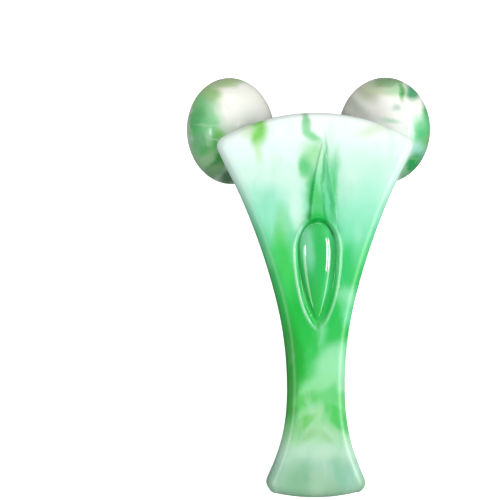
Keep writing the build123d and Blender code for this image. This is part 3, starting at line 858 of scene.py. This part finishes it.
RIGHT_PATCHES = [
    # painted shade: a greyer patch at the roller's upper left, beside the handle
    (-8.2, 15.0, (4.4, 2.6), 44, 0.8, (190, 200, 168), 0.8),
    (1.0, 18.8, (7.4, 2.2), -4, 0.5, (132, 178, 122), 0.95),
    (-3.4, 15.6, (5.4, 2.2), 10, 0.8, (206, 222, 180), 0.8),
    (3.0, 15.4, (3.4, 2.4), 0, 0.8, (178, 228, 178), 0.85),
    (5.2, 14.2, (1.1, 3.4), 6, 0.7, (80, 172, 80), 0.95),
    (9.8, 14.8, (3.4, 2.6), -38, 0.5, (78, 168, 116), 1.0),
    (2.6, 8.3, (1.5, 1.3), 0, 0.9, (170, 204, 184), 0.8),
    (0.4, 3.4, (3.2, 0.9), 12, 0.9, (160, 222, 184), 0.8),
    # painted shade: greyer patches down the roller's left edge
    (-13.0, 10.8, (2.0, 5.4), -38, 0.95, (172, 184, 162), 0.7),
    (-15.8, 6.0, (2.0, 5.0), -22, 0.95, (180, 190, 174), 0.6),
    (15.6, 4.0, (3.0, 7.0), 0, 0.5, (74, 180, 104), 1.0),
    (11.4, 0.8, (4.2, 5.0), 10, 0.7, (132, 220, 164), 0.95),
    (12.4, -2.2, (4.4, 4.2), 0, 0.7, (84, 196, 122), 1.0),
    (15.0, -5.6, (2.8, 3.2), 10, 0.6, (112, 188, 122), 0.95),
    (11.0, -8.0, (4.2, 3.0), 10, 0.7, (136, 214, 188), 0.9),
    (12.8, -11.6, (2.4, 3.4), 30, 0.6, (84, 168, 134), 0.9),
    (9.2, -13.0, (3.2, 4.6), 34, 0.5, (34, 164, 82), 1.0),
    (7.4, -17.6, (3.6, 1.4), 34, 0.7, (126, 196, 134), 0.9),
]
HIDDEN_PATCHES = [
    (4.0, 4.0, -16.0, (9.0, 3.0, 8.0), 30, 0.5, (92, 176, 116), 0.9),
    (-8.0, -6.0, -13.0, (4.0, 9.0, 8.0), 30, 0.5, (128, 200, 140), 0.85),
    (9.0, -9.0, -12.0, (7.0, 3.2, 7.0), -40, 0.5, (70, 158, 96), 0.9),
    (-6.0, 12.0, -12.0, (6.0, 2.6, 7.0), -20, 0.6, (160, 206, 150), 0.85),
]


def roller_material(name, side, patches, roughness):
    """Cream-white resin marbled with green, painted from the roller's own centre; some patches are painted
    shade and painted reflections.
    """
    sign = -1 if side == "left" else 1
    centre = (sign * ROLLER_CENTRE[0], ROLLER_CENTRE[1], ROLLER_CENTRE[2])
    paint = Paint(name, centre)
    fine = paint.place
    paint.warp(0.12, 3.0, 1.5)
    paint.warp(0.45, 1.1, 1.5)
    base = paint.along("Y", -24, 24, [
        (-20, (226, 246, 236)), (-6, (240, 251, 244)), (4, (252, 252, 246)), (16, (250, 251, 240)),
    ])
    for x, y, z, sizes, angle, softness, shade, strength in HIDDEN_PATCHES:
        base = paint.patch(base, x, y, z, sizes, angle, softness, shade, strength)
    middle, depth = FACING
    for x, y, sizes, angle, softness, shade, strength in patches:
        base = paint.patch(base, x, y, middle, (*sizes, depth), angle, softness, shade, strength)
    wisps = paint.noise(0.16, 5.0, (1.0, 1.0, 1.0), 0.6)
    veil = paint.math("MULTIPLY", paint.mask(wisps.outputs["Fac"], 0.58, 0.72), 0.3)
    base = paint.mix(veil, base, colour(168, 216, 170))
    paint.place = fine
    return paint.finish(base, roughness, 0.03, 0.05, 0.5, IOR=1.5, Coat_Weight=0.12, Coat_Roughness=0.12)


def plain_material(name, low, high, scale, stretch, roughness, spread, bump, bump_scale, **settings):
    """A material whose colour drifts between two near shades, low and high.

    Scale and stretch are the drift's, spread is the roughness's, bump_scale is the fine relief's.
    """
    paint = Paint(name)
    cloud = paint.noise(scale, 4.0, stretch)
    base = paint.mix(paint.mask(cloud.outputs["Fac"], 0.35, 0.65), colour(*low), colour(*high))
    return paint.finish(base, roughness, spread, bump, bump_scale, **settings)


def dress(node_names, material):
    """Give CAD nodes their material."""
    for name in node_names:
        mesh = frame["nodes"][name].data
        mesh.materials.clear()
        mesh.materials.append(material)


# ---------------------------------------------------------------- the object

shell_marble = marbled_shell()
front = make_front_shell()
front.data.materials.append(shell_marble)
mark_lip_highlight(front)
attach(front, "handle")
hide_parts("front_shell")

drop = make_drop()
drop.data.materials.append(drop_material())
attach(drop, "handle")
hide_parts("drop_inlay")

dress(["back_shell"], shell_marble)
dress(["screw_plugs"], plain_material(
    "plug", (132, 208, 150), (168, 224, 176), 0.4, (1, 1, 1), 0.3, 0.05, 0.1, 2.0))
dress(["axle_yoke"], plain_material(
    "cast_yoke", (128, 132, 134), (158, 161, 162), 0.8, (1, 1, 1), 0.5, 0.08, 0.35, 3.0, Metallic=0.9))
dress(["yoke_screws", "shell_screws", "left_end_screw", "right_end_screw"], plain_material(
    "screw_steel", (88, 90, 94), (120, 122, 126), 1.2, (1, 1, 3), 0.34, 0.06, 0.15, 4.0, Metallic=1.0))
for side, patches in (("left", LEFT_PATCHES), ("right", RIGHT_PATCHES)):
    dress([f"{side}_ball"], roller_material(f"{side}_roller", side, patches, 0.24))
    dress([f"{side}_ball_cap"], roller_material(f"{side}_roller_cap", side, patches, 0.2))
both = ("left", "right")
dress([f"{side}_axle" for side in both], plain_material(
    "axle_steel", (150, 152, 156), (184, 186, 190), 1.4, (1, 1, 1), 0.22, 0.05, 0.1, 4.0, Metallic=1.0))
dress([f"{side}_neck_ring" for side in both], plain_material(
    "collar", (196, 200, 204), (222, 226, 230), 0.9, (1, 1, 1), 0.12, 0.03, 0.05, 2.5, Metallic=1.0))
dress([f"{side}_{piece}" for side in both for piece in ("thrust_washer", "end_washer")], plain_material(
    "washer", (168, 170, 172), (192, 194, 196), 1.2, (1, 1, 1), 0.3, 0.05, 0.1, 4.0, Metallic=1.0))
dress([f"{side}_{piece}" for side in both for piece in ("inner_bush", "outer_bush")], plain_material(
    "bush", (228, 228, 220), (242, 242, 236), 0.9, (1, 1, 1), 0.42, 0.06, 0.15, 3.0))


# ---------------------------------------------------------------- studio

VIEW_LEAN = math.radians(5.0)       # the camera stands a little to the handle's left
VIEW_RISE = math.radians(1.8)       # and a little towards its head
VIEW_ROLL = math.radians(0.25)
AIM = np.array([-25.5, 94.8, 6.0])  # the middle of the picture, in the handle's frame
VIEW_WIDTH = 189.5                  # the picture's width there, in millimetres
LENS = 250.0
SENSOR = 36.0
LIGHTS_AIM = (0.0, 85.0, 4.0)       # the lights face the middle of the handle
FLOOR_HALF = 3.0                    # metres
FLOOR_TWIN_LEVEL = -0.0004
SURROUNDINGS = 0.34                 # strength of the even light from all round


def handle_direction(x, y, z):
    """A direction given in the handle's frame, in the shared frame."""
    return Vector(tilt_matrix() @ np.array([x, y, z], float)).normalized()


def look(obj, place, target, up):
    """Put an object at a place, facing a target."""
    back = (Vector(place) - Vector(target)).normalized()
    right = up.cross(back).normalized()
    above = back.cross(right)
    turn = Matrix((right, above, back)).transposed()
    obj.matrix_world = Matrix.Translation(Vector(place)) @ turn.to_4x4()


def make_camera():
    """A long lens square over the handle, from a little to its left."""
    data = bpy.data.cameras.new("view")
    data.lens = LENS
    data.sensor_width = SENSOR
    data.clip_start = 0.05
    data.clip_end = 20.0
    obj = bpy.data.objects.new("view", data)
    bpy.context.scene.collection.objects.link(obj)
    distance = VIEW_WIDTH * LENS / SENSOR
    level = math.cos(VIEW_RISE)
    direction = np.array([
        -math.sin(VIEW_LEAN) * level, math.sin(VIEW_RISE), math.cos(VIEW_LEAN) * level,
    ])
    place = row([AIM + distance * direction])[0]
    target = row([AIM])[0]
    look(obj, place, target, handle_direction(math.sin(VIEW_ROLL), math.cos(VIEW_ROLL), 0.0))
    bpy.context.scene.camera = obj


def make_light(name, azimuth, climb, distance, size, power):
    """A rectangular soft light, placed by its angles from the handle's front.

    Azimuth is to the right and climb towards the head, in degrees. Distance and size are in metres.
    """
    data = bpy.data.lights.new(name, "AREA")
    data.shape = "RECTANGLE"
    data.size, data.size_y = size
    data.energy = power
    obj = bpy.data.objects.new(name, data)
    bpy.context.scene.collection.objects.link(obj)
    a, c = math.radians(azimuth), math.radians(climb)
    direction = handle_direction(math.sin(a) * math.cos(c), math.sin(c), math.cos(a) * math.cos(c))
    target = Vector(row([LIGHTS_AIM])[0])
    look(obj, target + direction * distance, target, handle_direction(0, 1, 0))


def make_floor():
    """A pale floor: the camera sees a bright white sheet, and the object mirrors its grey twin."""
    for name, shade, glow, to_camera in (("floor", 0.92, 0.75, True), ("floor_mirrored", 0.22, 0.0, False)):
        level = 0.0 if to_camera else FLOOR_TWIN_LEVEL
        signs = [(-1, -1), (1, -1), (1, 1), (-1, 1)]
        corners = [(x * FLOOR_HALF, y * FLOOR_HALF, level) for x, y in signs]
        mesh = bpy.data.meshes.new(name)
        mesh.from_pydata(corners, [], [(0, 1, 2, 3)])
        obj = bpy.data.objects.new(name, mesh)
        bpy.context.scene.collection.objects.link(obj)
        material = bpy.data.materials.new(name)
        material.use_nodes = True
        shader = next(n for n in material.node_tree.nodes if n.type == "BSDF_PRINCIPLED")
        shader.inputs["Base Color"].default_value = (shade, shade, shade, 1)
        shader.inputs["Roughness"].default_value = 0.9
        shader.inputs["Specular IOR Level"].default_value = 0.0
        shader.inputs["Emission Color"].default_value = (1, 1, 1, 1)
        shader.inputs["Emission Strength"].default_value = glow
        mesh.materials.append(material)
        obj.visible_camera = to_camera
        obj.visible_glossy = not to_camera
        obj.visible_diffuse = not to_camera
        obj.visible_transmission = not to_camera
        obj.visible_shadow = False


def make_surroundings():
    """A dim, even studio round the lights."""
    world = bpy.data.worlds.new("studio")
    world.use_nodes = True
    background = next(n for n in world.node_tree.nodes if n.type == "BACKGROUND")
    background.inputs["Color"].default_value = (1, 1, 1, 1)
    background.inputs["Strength"].default_value = SURROUNDINGS
    bpy.context.scene.world = world


make_camera()
make_floor()
make_surroundings()
make_light("right_strip_near", 41, 3, 0.9, (0.06, 0.42), 2.6)
make_light("right_strip_far", 53, 3, 0.9, (0.06, 0.42), 2.4)
make_light("left_strip", -47, 2, 0.9, (0.08, 0.16), 1.2)
make_light("right_soft", 58, -14, 1.2, (0.35, 0.7), 2.7)
make_light("left_soft", -56, -12, 1.2, (0.5, 0.7), 3.6)
make_light("top_soft", 0, 74, 1.1, (1.0, 0.4), 3.1)

view = bpy.context.scene.view_settings
view.view_transform = "Standard"
view.look = "None"
view.exposure = 0.0
view.gamma = 1.0
